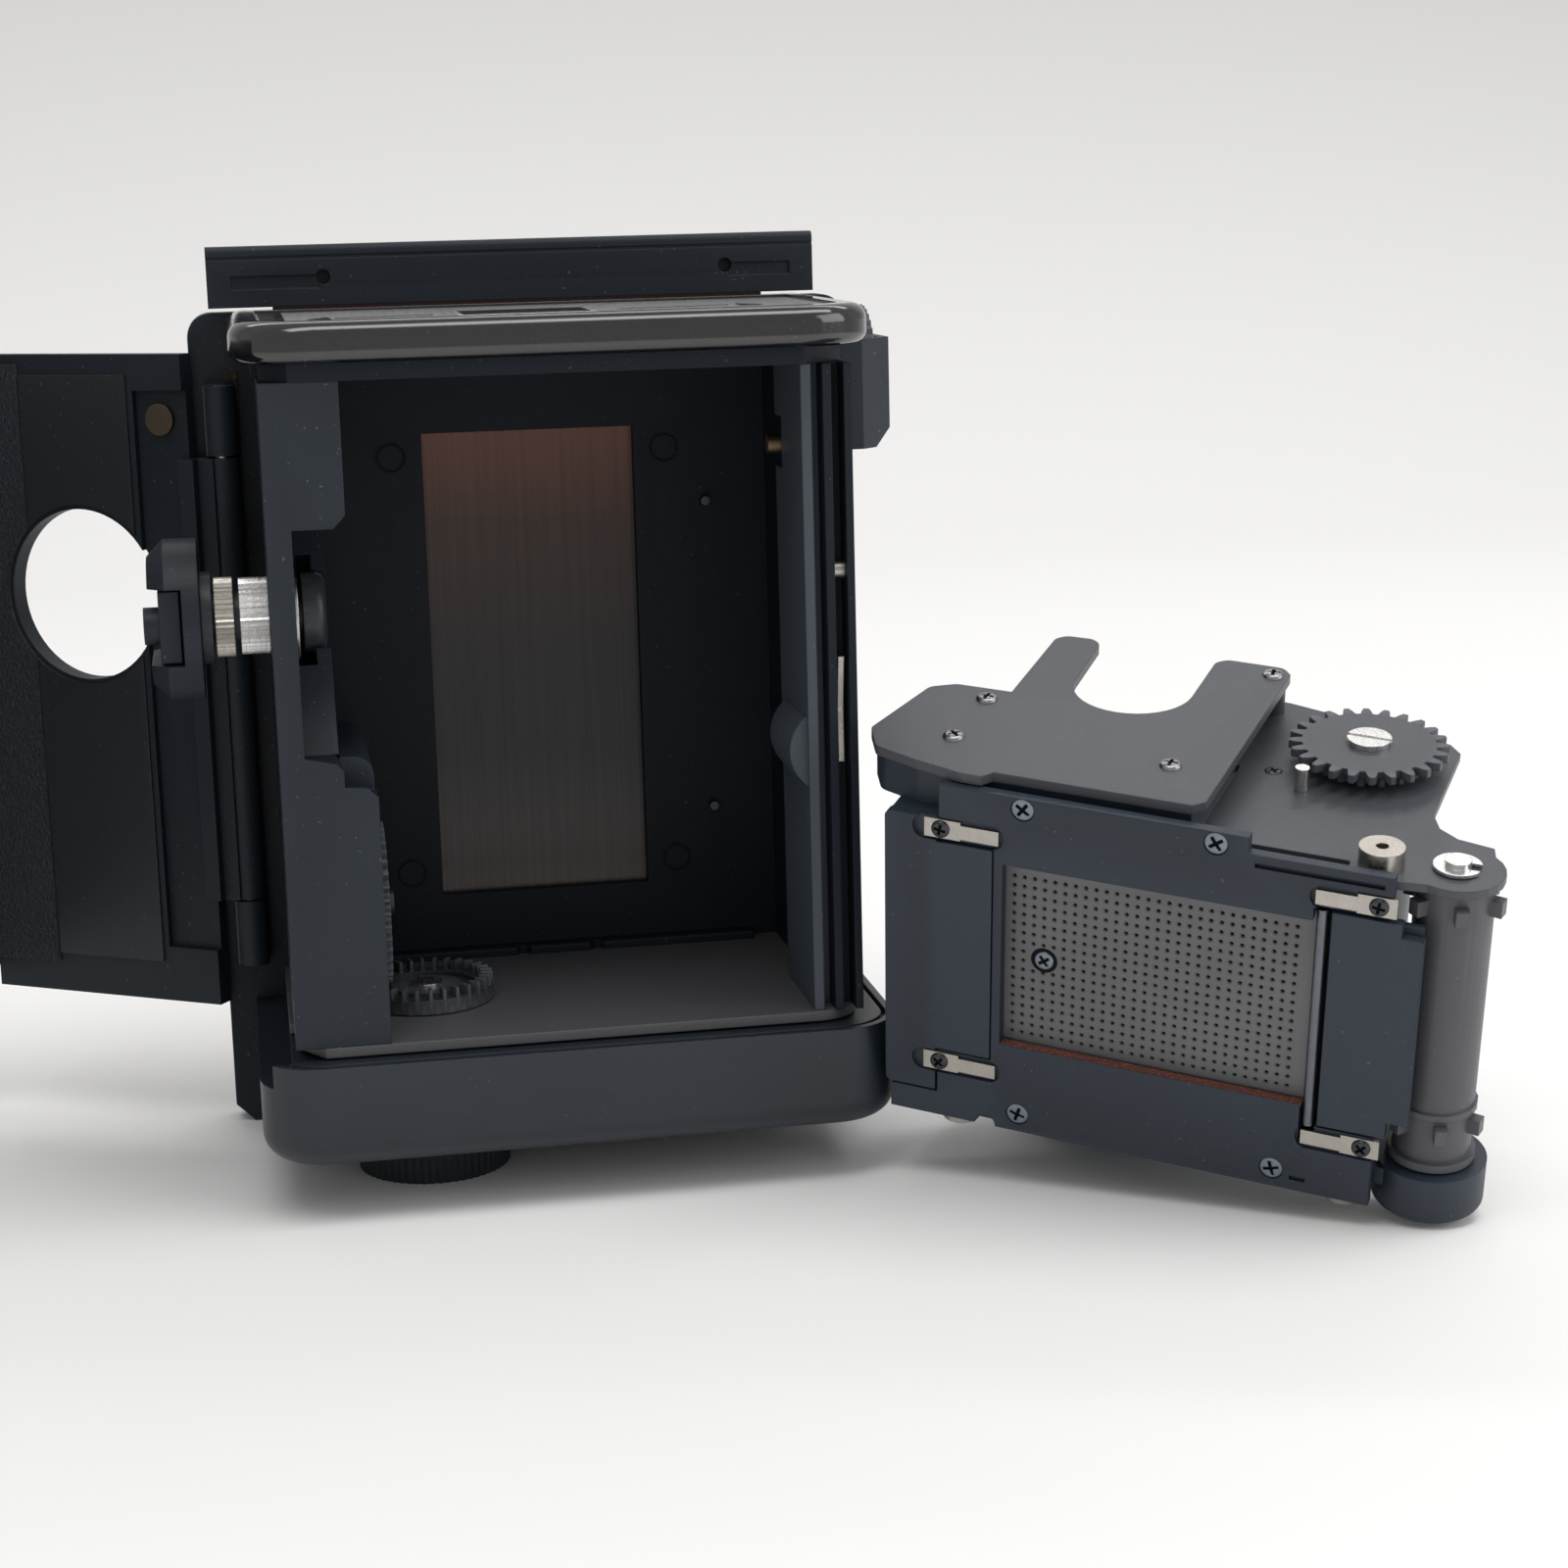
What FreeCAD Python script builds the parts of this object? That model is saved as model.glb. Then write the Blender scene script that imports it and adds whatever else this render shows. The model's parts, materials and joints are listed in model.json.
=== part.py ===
import FreeCAD, Part
import math
import os

os.makedirs("parts", exist_ok=True)

# Overall sizes of the film magazine, millimetres. The aperture's centre line is x 0 and the chamber side of
# the front wall is y 0. Exported files are moved back by standY, to the middle of the flange's foot.
apertureZ = 59.0
apertureWide = 27.0
apertureTall = 60.0
wallHalf = 33.9
rearY = -39.5
capHalf = 36.8
capRearY = -43.0
baseHalf = 38.3
flangeHalf = 41.7
flangeBack = 6.5
slotBack = 2.7
frontWall = 1.5
standY = (frontWall + flangeBack) / 2
floorTop = 20.9
floorThick = 1.2
roofLow = 98.3
roofThick = 2.1
topCapLow = 100.4
topCapTop = 105.1
baseTop = 19.4
baseLow = 7.0
baseCornerR = 8.0
topCornerR = 9.0

# Door, open angle measured from closed.
doorOpen = 123.0
hingeX = -38.2
hingeY = -1.0
barrelR = 2.0
pinR = 0.9
doorOut = 37.2
doorIn = 34.7
doorRear = 42.6
doorThick = 2.5
doorFree = 34.9
velvetFrom = -28.6
doorLow = 19.7
doorTop = 100.1
doorLipLow = 17.0
doorLipRear = -38.5
doorHoleR = 10.9

# Rewind spindle along X and base knob along Z share one depth.
driveY = -20.7
rewindZ = 69.8
rewindShaftR = 3.0
runFit = 0.06
rewindKnobR = 9.6
washerR = 6.9
rewindTipR = 4.8
knobX = -17.4
baseKnobR = 9.4
knobShaftR = 2.0

# Crown gear and the gear it turns.
gearModule = 0.5
crownTeeth = 30
driveTeeth = 38
crownRootZ = 22.8
crownTipZ = 24.1
crownInR = 6.7
crownOutR = 8.2

# Film insert, own axes: x along the film, y back from the pressure plate face, z along the cassette.
insertAt = (62.66, -62.86, 28.11)
insertTurn = -34.85
insertLean = 14.01
insertRoll = 6.49
gateFront = -2.0
gateBack = -0.6
clipFront = -1.9
windowX = (-17.55, 18.45)
windowZ = (-11.05, 12.95)
spoolX = 17.4
spoolY = 27.2
cassetteX = -11.4
cassetteY = 27.8
drumX = 32.3
drumY = 5.4
drumR = 4.4
drumTeeth = 6
toothStart = 20.0
bossR = 6.4
perfRows = (15.0, -13.2)
coverLow = 22.0
coverTop = 23.2
gearPlateLow = 17.4
gearPlateTop = 18.4
bottomLow = -22.7
bottomTop = -21.2
takeUpTeeth = 24
takeUpModule = 0.715


def vec(x, y, z):
    return FreeCAD.Vector(x, y, z)


AXES = {"x": vec(1, 0, 0), "y": vec(0, 1, 0), "z": vec(0, 0, 1)}


def box(x0, x1, y0, y1, z0, z1):
    return Part.makeBox(x1 - x0, y1 - y0, z1 - z0, vec(x0, y0, z0))


def rod(x, y, z, radius, length, axis="z"):
    return Part.makeCylinder(radius, length, vec(x, y, z), AXES[axis])


def ring(x, y, z, outer, inner, length, axis="z"):
    return rod(x, y, z, outer, length, axis).cut(rod(x, y, z, inner, length, axis))


def prism(points, low, high, axis="z"):
    place = {
        "z": lambda a, b: vec(a, b, low),
        "y": lambda a, b: vec(a, low, b),
        "x": lambda a, b: vec(low, a, b),
    }[axis]
    loop = [place(a, b) for a, b in points]
    face = Part.Face(Part.makePolygon(loop + [loop[0]]))
    return face.extrude(AXES[axis] * (high - low))


def join(*shapes):
    whole = shapes[0]
    for shape in shapes[1:]:
        whole = whole.fuse(shape)
    return whole.removeSplitter()


def cutAll(shape, tools):
    for tool in tools:
        shape = shape.cut(tool)
    return shape


def roundAlong(shape, radius, axis, keep=lambda centre: True):
    edges = []
    for edge in shape.Edges:
        if len(edge.Vertexes) != 2 or edge.Curve.TypeId != "Part::GeomLine":
            continue
        run = edge.Vertexes[1].Point.sub(edge.Vertexes[0].Point)
        if run.Length > 1e-6 and abs(run.normalize().dot(AXES[axis])) > 0.999 and keep(edge.CenterOfMass):
            edges.append(edge)
    return shape.makeFillet(radius, edges) if edges else shape


def gearPoints(module, teeth, thin=0.0, start=0.0):
    pitch = module * teeth / 2.0
    root = pitch - 1.15 * module
    tip = pitch + 0.95 * module
    flank = ((root, 1.0), (pitch, 0.78), (tip, 0.42), (tip, -0.42), (pitch, -0.78), (root, -1.0))
    points = []
    for i in range(teeth):
        mid = start + 2 * math.pi * i / teeth
        for radius, width in flank:
            half = (width * module - math.copysign(thin, width)) / radius
            points.append((radius * math.cos(mid - half), radius * math.sin(mid - half)))
    return points


def gear(module, teeth, x, y, z, thick, axis="z", thin=0.0, start=0.0):
    blank = prism(gearPoints(module, teeth, thin, start), 0, thick)
    if axis == "x":
        blank.rotate(vec(0, 0, 0), vec(0, 1, 0), 90)
    blank.translate(vec(x, y, z))
    return blank


def knurled(x, y, z, radius, length, count, axis, depth=0.25):
    points = []
    for i in range(count * 2):
        angle = math.pi * i / count
        reach = radius if i % 2 == 0 else radius - depth
        points.append((reach * math.cos(angle), reach * math.sin(angle)))
    body = prism(points, 0, length)
    if axis == "x":
        body.rotate(vec(0, 0, 0), vec(0, 1, 0), 90)
    body.translate(vec(x, y, z))
    return body


def inInsert(shape):
    turn = FreeCAD.Placement(vec(*insertAt), FreeCAD.Rotation(vec(0, 0, 1), insertTurn))
    lean = FreeCAD.Placement(vec(0, 0, 0), FreeCAD.Rotation(vec(1, 0, 0), insertLean))
    roll = FreeCAD.Placement(vec(0, 0, 0), FreeCAD.Rotation(vec(0, 1, 0), insertRoll))
    moved = shape.copy()
    moved.Placement = turn.multiply(lean).multiply(roll).multiply(shape.Placement)
    return moved


def inDoor(shape):
    moved = shape.copy()
    moved.rotate(vec(hingeX, hingeY, 0), vec(0, 0, 1), -doorOpen)
    return moved


def asMade(shape):
    return shape


def save(shapes, place=asMade):
    for name, shape in shapes.items():
        made = place(shape)
        made.translate(vec(0, -standY, 0))
        made.exportStep("parts/" + name + ".step")


apertureLow = apertureZ - apertureTall / 2
apertureHigh = apertureZ + apertureTall / 2
aperture = box(-apertureWide / 2, apertureWide / 2, -5, 12, apertureLow, apertureHigh)
apertureFront = box(-apertureWide / 2 - 1, apertureWide / 2 + 1, 1, 12, apertureLow - 1, apertureHigh + 1)
barrelSpan = (apertureZ - 28.2, apertureZ + 28.1)
earSpans = ((apertureZ - 37.0, barrelSpan[0] - 0.3), (barrelSpan[1] + 0.3, apertureZ + 37.0))
screwSpots = [(sx * 37.0, apertureZ + dz) for sx in (-1, 1) for dz in (-42.0, 40.0)]
pinSpots = ((22.5, apertureZ + 20.1), (22.5, apertureZ - 20.1))
ejectorSpots = [(sx * 17.5, apertureZ + dz) for sx in (-1, 1) for dz in (-26.9, 27.2)]


def makeMountPlate():
    chamfer = 2.4
    right = [(flangeHalf - chamfer, 0), (flangeHalf, chamfer), (flangeHalf, topCapTop - 0.3)]
    outline = right + [(-x, z) for x, z in reversed(right)]
    plate = prism(outline, frontWall, flangeBack, "y")
    plate = roundAlong(plate, 3.0, "y", lambda c: c.z > topCapTop - 1)
    rim = box(-18.5, 18.5, flangeBack, flangeBack + 1.4, apertureZ - 35, apertureZ + 35)
    rim = roundAlong(rim, 2.0, "y")
    plate = plate.fuse(rim)
    for low, high in earSpans:
        ear = rod(hingeX, hingeY, low, barrelR, high - low)
        plate = plate.fuse(ear).fuse(box(hingeX - barrelR, hingeX + 1.6, hingeY, frontWall, low, high))
    for side in (-1, 1):
        lug = box(side * 23 - 3.5, side * 23 + 3.5, flangeBack, flangeBack + 3.2, 5.5, 9.0)
        plate = plate.fuse(roundAlong(lug, 1.0, "y"))
        slot = box(side * 23 - 2.2, side * 23 + 2.2, flangeBack + 0.9, flangeBack + 2.2, 6.4, 9.5)
        plate = plate.cut(slot)
    sheetPath = box(-31.6, 31.6, frontWall - 1, slotBack, apertureZ - 33.5, topCapTop + 2)
    tools = [apertureFront, sheetPath, rod(hingeX, hingeY, 0, pinR, topCapTop)]
    tools += [rod(x, frontWall + 1.2, z, 1.3, 10, "y") for x, z in screwSpots]
    tools += [rod(x, flangeBack - 1.2, z, 2.4, 3, "y") for x, z in screwSpots]
    return cutAll(plate, tools).removeSplitter()


def makeFrontWall():
    wall = box(-wallHalf, wallHalf, 0, frontWall, floorTop, roofLow)
    ledge = box(-24.0, 27.0, -2.6, 0, floorTop, floorTop + 1.1)
    ledge = roundAlong(ledge, 0.4, "x", lambda c: c.y < -1 and c.z > floorTop)
    ledge = cutAll(ledge, [rod(x, -2.7, floorTop, 0.9, 2) for x in (-3.5, 6.1)])
    wall = wall.fuse(ledge)
    tools = [aperture]
    tools += [ring(x, 0, z, 1.85, 1.6, 0.15, "y") for x, z in ejectorSpots]
    tools += [rod(x, -1, z, 0.6, 2.0, "y") for x, z in pinSpots]
    return cutAll(wall, tools)


def makeSideWalls():
    left = box(-wallHalf, -31.5, rearY + 1.3, 0, floorTop, roofLow)
    left = left.cut(rod(-36, driveY, rewindZ, 5.0, 8, "x"))
    left = left.cut(rod(-36, driveY, apertureZ - 25.45, 1.5 + runFit, 8, "x"))
    right = box(30.5, wallHalf, rearY + 3.5, 0, floorTop, roofLow)
    ribs = [box(30.5, 31.5, rearY, rearY + 3.5, floorTop, roofLow)]
    ribs.append(box(33.0, wallHalf, rearY, rearY + 3.5, floorTop, roofLow))
    right = join(right, *ribs)
    right = right.cut(rod(29, -24.0, apertureZ + 29.0, 1.15, 2.8, "x"))
    return left, right


def makeGearCover():
    z = apertureZ
    outline = [(-wallHalf, roofLow), (-24.9, roofLow), (-24.9, z + 24.2), (-26.3, z + 22.7),
               (-31.0, z + 22.7),
               (-31.0, z - 3.6), (-27.4, z - 4.4), (-26.6, z - 5.2), (-26.6, z - 7.2), (-24.0, z - 7.4),
               (-22.8, z - 8.6), (-22.8, floorTop), (-wallHalf, floorTop)]
    face = prism(outline, rearY, rearY + 1.3, "y")
    topBlock = prism([(-31.5, roofLow), (-24.9, roofLow), (-24.9, z + 24.2), (-26.3, z + 22.7),
                      (-31.5, z + 22.7)],
                     rearY + 1.3, -27.0, "y")
    lowWall = box(-24.2, -22.8, rearY + 1.3, -31.8, floorTop, z - 8.6)
    lowRoof = box(-31.5, -22.8, rearY + 1.3, -8.0, z - 9.8, z - 8.6)
    middle = prism([(-31.5, z - 4.4), (-27.4, z - 4.4), (-26.6, z - 5.2), (-26.6, z - 8.6), (-31.5, z - 8.6)],
                   rearY + 1.3, -30.0, "y")
    slope = [(-33.0, z - 4.4), (-13.0, z + 22.7), (-8.0, z + 22.7), (-8.0, z - 4.4)]
    ramp = prism(slope, -31.5, -26.9, "x")
    ramp = ramp.cut(rod(-32.0, driveY, rewindZ, washerR + 0.7, 3.4, "x"))
    ramp = ramp.cut(rod(-29.0, driveY, rewindZ, rewindTipR + 0.6, 4.0, "x"))
    hood = box(-26.9, -23.0, -34.0, -9.0, z - 8.6, z - 4.6)
    hood = roundAlong(hood, 2.4, "y", lambda c: c.x > -24 and c.z > z - 5)
    return join(face, topBlock, lowWall, lowRoof, middle, ramp, hood)


def makeLiner():
    z = apertureZ
    plate = box(28.0, 29.2, rearY + 0.5, -22.0, floorTop, roofLow)
    web = box(29.2, 30.5, -36.0, -31.0, floorTop, roofLow)
    saddle = rod(31.2, rearY + 1.5, z - 6.4, 5.3, 13.0, "y")
    saddle = saddle.common(box(20, 28.0, rearY, 0, z - 10.6, z - 2.3))
    tools = [rod(27, -24.0, z + 29.0, 1.15, 4, "x"), box(27, 30, -26.2, -21.5, z + 26.2, z + 32.4)]
    return cutAll(join(plate, web, saddle), tools)


platePlan = [(-30.5, rearY), (wallHalf, rearY), (wallHalf, 0), (-34.4, 0), (-34.4, -27.6), (-33.6, -27.6),
             (-33.6, -34.5)]


def makePlates():
    floor = prism(platePlan, floorTop - floorThick, floorTop)
    floor = roundAlong(floor, 5.5, "z", lambda c: c.x > 30 and c.y < -20)
    floor = floor.cut(rod(knobX, driveY, floorTop - 3, knobShaftR + runFit, 5))
    roof = prism(platePlan, roofLow, roofLow + roofThick)
    corner = [(28.4, rearY - 1), (40, rearY - 1), (40, -33.2), (wallHalf, -33.2), (28.4, rearY)]
    roof = roof.cut(prism(corner, roofLow - 1, topCapLow + 1))
    return floor, roof


def makeBaseCap():
    cap = box(-baseHalf, baseHalf, capRearY, frontWall - 0.1, baseLow, baseTop)
    cap = roundAlong(cap, baseCornerR, "z", lambda c: c.y < -10)
    low = [e for e in cap.Edges if abs(e.CenterOfMass.z - baseLow) < 1e-3 and e.CenterOfMass.y < 0]
    cap = cap.makeFillet(3.2, low)
    inner = box(-31.0, 31.0, -36.0, -4.0, baseLow + 2.4, baseTop + 1)
    tools = [roundAlong(inner, 4.0, "z")]
    outer = roundAlong(box(-baseHalf + 0.9, baseHalf - 0.9, capRearY + 0.9, 5, baseTop - 0.8, baseTop + 1),
                       baseCornerR - 0.9, "z", lambda c: c.y < -10)
    island = roundAlong(box(-baseHalf + 1.5, baseHalf - 1.5, capRearY + 1.5, 6, baseTop - 1, baseTop + 2),
                        baseCornerR - 1.5, "z", lambda c: c.y < -10)
    tools.append(outer.cut(island))
    tools.append(box(-baseHalf - 1, -doorIn + 0.3, doorLipRear - 1.2, 3, doorLipLow - 0.4, baseTop + 1))
    cap = cutAll(cap, tools)
    for x, y in ((-27, -32), (26, -32), (-27, -8), (26, -8)):
        cap = cap.fuse(rod(x, y, baseLow + 2.0, 2.6, floorTop - floorThick - baseLow - 2.0))
    cap = cap.fuse(ring(knobX, driveY, baseLow + 2.0, 4.2, knobShaftR + runFit, 4.0))
    return cap.cut(rod(knobX, driveY, baseLow - 1, knobShaftR + runFit, 8))


def makeTopCap():
    cap = box(-capHalf, capHalf, capRearY, frontWall - 0.1, topCapLow, topCapTop)
    cap = roundAlong(cap, topCornerR, "z", lambda c: c.y < -10)
    rims = [e for e in cap.Edges if e.CenterOfMass.y < -0.5 and abs(e.CenterOfMass.z - topCapTop) < 1e-3]
    cap = cap.makeFillet(1.9, rims)
    rims = [e for e in cap.Edges if e.CenterOfMass.y < -0.5 and abs(e.CenterOfMass.z - topCapLow) < 1e-3]
    cap = cap.makeFillet(1.4, rims)
    pocket = box(-33.4, 33.4, -39.4, -2.2, topCapTop - 1.0, topCapTop + 1)
    cap = cap.cut(roundAlong(pocket, topCornerR - 3.4, "z", lambda c: c.y < -10))
    panel = box(-33.3, 33.3, -39.3, -2.3, topCapTop - 1.0, topCapTop - 0.35)
    panel = roundAlong(panel, topCornerR - 3.5, "z", lambda c: c.y < -10)
    return cap, panel


def makeDial():
    z = apertureZ
    plan = [(wallHalf, -25.0), (38.4, -25.0), (42.6, -20.8), (42.6, -1.0), (wallHalf, -1.0)]
    block = prism(plan, z + 28.0, z + 41.2)
    bevel = prism([(42.7, z + 27.9), (42.7, z + 30.3), (40.3, z + 27.9)], -26.0, 0, "y")
    slot = box(38.2, 41.4, -21.2, -4.8, z + 29.2, z + 42.0)
    wheel = knurled(38.5, -13.0, z + 37.3, 7.6, 2.6, 36, "x", 0.45)
    wheel = wheel.cut(rod(38.0, -13.0, z + 37.3, 1.2 + runFit, 4, "x"))
    axle = rod(38.2, -13.0, z + 37.3, 1.2, 3.2, "x")
    return cutAll(block, [bevel, slot]).fuse(axle), wheel


def makeDarkSlide():
    sheet = box(-31.0, 31.0, 1.8, 2.4, apertureZ - 33.0, 107.0)
    handle = box(-38.9, 37.5, 0.2, 4.0, topCapTop + 0.3, 112.9)
    handle = roundAlong(handle, 0.8, "x", lambda c: c.z > 112)
    for x0, x1 in ((-36.0, -25.0), (26.5, 34.5)):
        handle = handle.cut(box(x0, x1, -0.1, 0.5, 107.6, 109.2))
    for x in (-24.6, 26.1):
        handle = handle.cut(rod(x, -0.1, 108.9, 0.9, 1.4, "y"))
    handle = handle.cut(box(-39, 38, -0.1, 0.35, 111.2, 111.6))
    return sheet, handle.cut(box(-31.0, 31.0, 1.8, 2.4, 105.0, 107.0))


def makeDrive():
    z = apertureZ
    knob = knurled(knobX, driveY, 0, baseKnobR, 4.2, 60, "z")
    knob = knob.fuse(rod(knobX, driveY, 4.2, 8.2, baseLow - 0.3 - 4.2))
    knob = knob.cut(box(knobX - 6, knobX + 6, driveY - 0.9, driveY + 0.9, -0.1, 0.9))
    shaft = rod(knobX, driveY, baseLow - 0.3, knobShaftR, crownRootZ + 0.4 - baseLow + 0.3)
    disc = ring(knobX, driveY, floorTop + 0.15, crownOutR, knobShaftR, crownRootZ - floorTop - 0.15)
    crown = disc.cut(ring(knobX, driveY, crownRootZ - 0.5, 6.0, 4.4, 1))
    for i in range(crownTeeth):
        tooth = prism([(-0.30, crownRootZ - 0.01), (0.30, crownRootZ - 0.01), (0.19, crownTipZ),
                       (-0.19, crownTipZ)],
                      crownInR, crownOutR, "y")
        tooth.rotate(vec(0, 0, 0), vec(0, 0, 1), 90 + 6 + 360.0 * i / crownTeeth)
        tooth.translate(vec(knobX, driveY, 0))
        crown = crown.fuse(tooth)
    centreZ = z - 25.45
    spur = gear(gearModule, driveTeeth, -25.6, driveY, centreZ, 3.9, "x", 0.06)
    spur = spur.fuse(rod(-33.5, driveY, centreZ, 1.5, 12.6, "x"))
    spur = spur.cut(ring(-22.4, driveY, centreZ, 7.0, 3.0, 1, "x"))
    return knob, shaft, crown, spur


def makeRewind():
    bush = knurled(-37.3, driveY, rewindZ, 4.6, 3.4, 40, "x")
    bush = bush.cut(rod(-38, driveY, rewindZ, rewindShaftR + runFit, 6, "x"))
    washer = ring(-31.5, driveY, rewindZ, washerR, 5.1, 1.0, "x")
    collar = knurled(-40.2, driveY, rewindZ, 4.75, 2.2, 44, "x")
    collar = collar.cut(rod(-41, driveY, rewindZ, rewindShaftR + runFit, 6, "x"))
    shaft = rod(-41.8, driveY, rewindZ, 5.5, 1.3, "x")
    shaft = shaft.fuse(rod(-41.0, driveY, rewindZ, rewindShaftR, 11.2, "x"))
    tip = rod(-29.9, driveY, rewindZ, rewindTipR, 2.7, "x")
    tip = tip.makeFillet(1.1, [e for e in tip.Edges if abs(e.CenterOfMass.x + 27.2) < 1e-3])
    shaft = shaft.fuse(tip).cut(box(-28.2, -27.0, driveY - 0.8, driveY + 0.8, rewindZ - 5, rewindZ + 5))
    knob = rod(-47.8, driveY, rewindZ, rewindKnobR, 5.95, "x")
    knob = knob.makeChamfer(2.0, [e for e in knob.Edges if abs(e.CenterOfMass.x + 47.8) < 1e-3])
    knob = knob.cut(box(-48, -43.9, driveY - 10, driveY + 10, rewindZ - 4.5, rewindZ + 4.5))
    pivotY = driveY + 6.6
    knob = knob.fuse(rod(-45.4, pivotY, rewindZ - 4.6, 0.7, 9.2))
    arm = box(-46.6, -44.2, driveY - 7.4, pivotY, rewindZ - 4.2, rewindZ + 4.2)
    arm = arm.fuse(rod(-45.4, pivotY, rewindZ - 4.2, 1.2, 8.4))
    arm = arm.fuse(rod(-48.4, driveY - 5.0, rewindZ, 2.2, 2.0, "x"))
    arm = arm.cut(rod(-45.4, pivotY, rewindZ - 5, 0.7 + runFit, 10))
    return {"rewind_bush": bush, "rewind_washer": washer, "rewind_collar": collar, "rewind_shaft": shaft,
            "rewind_knob": knob, "crank_arm": arm}


def makeDoor():
    z = apertureZ
    side = box(-doorOut, -doorIn, -doorRear, -4.2, doorLow, doorTop)
    rear = box(-doorOut, doorFree, -doorRear, -doorRear + doorThick, doorLow, doorTop)
    shell = join(side, rear)
    shell = roundAlong(shell, 3.0, "z", lambda c: c.x < -36 and c.y < -42)
    shell = shell.fuse(box(-doorOut, -doorIn, doorLipRear, -4.2, doorLipLow, doorLow))
    shell = shell.cut(rod(-40, driveY, rewindZ, doorHoleR, 8, "x"))
    shell = shell.cut(box(-doorIn - 0.9, -doorIn + 1, -11.5, -4.0, doorLow + 4.5, doorTop - 4.5))
    knuckle = rod(hingeX, hingeY, barrelSpan[0], barrelR, barrelSpan[1] - barrelSpan[0])
    web = box(hingeX + 0.6, hingeX + 2.4, hingeY - 4.6, hingeY, barrelSpan[0], barrelSpan[1])
    web = web.fuse(box(-doorOut, -doorIn, hingeY - 4.6, hingeY - 2.2, barrelSpan[0], barrelSpan[1]))
    shell = join(shell, knuckle, web)
    shell = shell.cut(rod(hingeX, hingeY, doorLow, pinR + runFit, doorTop - doorLow))
    shell = shell.fuse(box(31.95, 32.55, -doorRear + doorThick, -38.75, z - 36.0, z + 37.0))
    for low, high in ((doorLow, doorLow + 0.8), (doorTop - 0.8, doorTop)):
        shell = shell.fuse(box(-35.5, 30.0, -doorRear + doorThick, -39.7, low, high))
    liner = box(-doorIn, -doorIn + 0.3, velvetFrom + 0.2, -12.3, doorLow + 2.5, doorTop - 2.5)
    liner = liner.cut(rod(-40, driveY, rewindZ, doorHoleR + 0.5, 8, "x"))
    velvet = box(-doorIn, -doorIn + 0.5, -doorRear + doorThick, velvetFrom, doorLow + 1.2, doorTop - 1.2)
    velvet = velvet.cut(rod(-40, driveY, rewindZ, doorHoleR + 0.5, 8, "x"))
    cushion = box(-18.0, 18.0, -doorRear + doorThick, -39.6, z - 22.0, z + 22.0)
    rivet = rod(-doorIn - 0.9, -8.0, z + 33.0, 2.0, 0.6, "x")
    latch = box(29.0, 34.5, -doorRear - 1.5, -doorRear - 0.05, z - 7.0, z + 5.0)
    latch = roundAlong(latch, 0.8, "y")
    return {"door_shell": shell, "door_liner": liner, "door_velvet": velvet, "door_cushion": cushion,
            "door_rivet": rivet, "door_latch": latch}


def makeSmallFittings():
    z = apertureZ
    hingePin = rod(hingeX, hingeY, earSpans[0][0], pinR, earSpans[1][1] - earSpans[0][0])
    seal = box(-37.5, -35.9, frontWall - 0.3, frontWall, z - 37.5, z + 38.5)
    gaps = [box(hingeX, hingeX + 1.9, 0, frontWall, low - 0.3, high + 0.3) for low, high in earSpans]
    seal = cutAll(seal, gaps)
    pins = [rod(x, -1.3, zz, 0.6, 2.3, "y") for x, zz in pinSpots]
    latchPin = rod(31.5, -37.2, z + 15.0, 1.0, 1.5, "x")
    bend = [(-38.4, z + 4.8), (-38.0, z + 4.8), (-37.0, z - 1.5), (-37.0, z - 8.0), (-37.4, z - 8.0),
            (-37.4, z - 1.6)]
    leaf = prism(bend, 31.9, 32.6, "x").fuse(box(31.9, 32.6, -37.3, -36.0, z - 8.0, z - 6.6))
    stop = rod(26.6, -24.0, z + 29.0, 1.1, 4.6, "x").fuse(rod(29.5, -24.0, z + 29.0, 1.9, 0.45, "x"))
    screws = []
    for x, zz in screwSpots:
        head = rod(x, flangeBack - 1.2, zz, 2.3, 1.1, "y").fuse(rod(x, frontWall + 1.4, zz, 1.2, 2.6, "y"))
        flat = box(x - 1.5, x + 1.5, flangeBack - 0.6, flangeBack + 1, zz - 0.25, zz + 0.25)
        upright = box(x - 0.25, x + 0.25, flangeBack - 0.6, flangeBack + 1, zz - 1.5, zz + 1.5)
        screws.append(head.cut(flat).cut(upright))
    return {"hinge_pin": hingePin, "hinge_seal": seal, "wall_pins": Part.makeCompound(pins),
            "latch_pin": latchPin,
            "leaf_spring": leaf, "stop_shaft": stop, "mount_screws": Part.makeCompound(screws)}


clipSpots = ((-25.1, 16.1, 1), (-25.1, -15.2, 1), (25.5, 16.0, -1), (25.7, -15.2, -1))
gateScrewSpots = ((-15.3, 20.3), (7.1, 20.3), (-15.2, -20.4), (15.6, -20.4))
coverScrewSpots = ((-26.8, 18.6), (-27.0, 7.6), (-1.4, 9.2), (3.3, 37.1))
lobeR = 5.3
coverPlan = [(-36.9, 6.5), (-34.6, 2.2), (-29.0, 0.4), (-23.0, -1.0), (-20.6, -1.0), (-19.6, 0.5), (3.6, 0.6),
             (4.8, 2.0), (5.2, 38.0), (4.0, 39.6), (-3.0, 39.6), (-4.2, 38.4), (-4.2, cassetteY)]
coverPlan += [(cassetteX + 7.2 * math.cos(a), cassetteY - 7.2 * math.sin(a))
              for a in [math.pi * i / 18 for i in range(1, 18)]]
coverPlan += [(-18.6, cassetteY), (-19.0, 38.6), (-20.2, 39.8), (-23.6, 39.6), (-24.7, 38.4), (-24.7, 21.6),
              (-31.6, 21.4), (-34.4, 19.6)]
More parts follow.
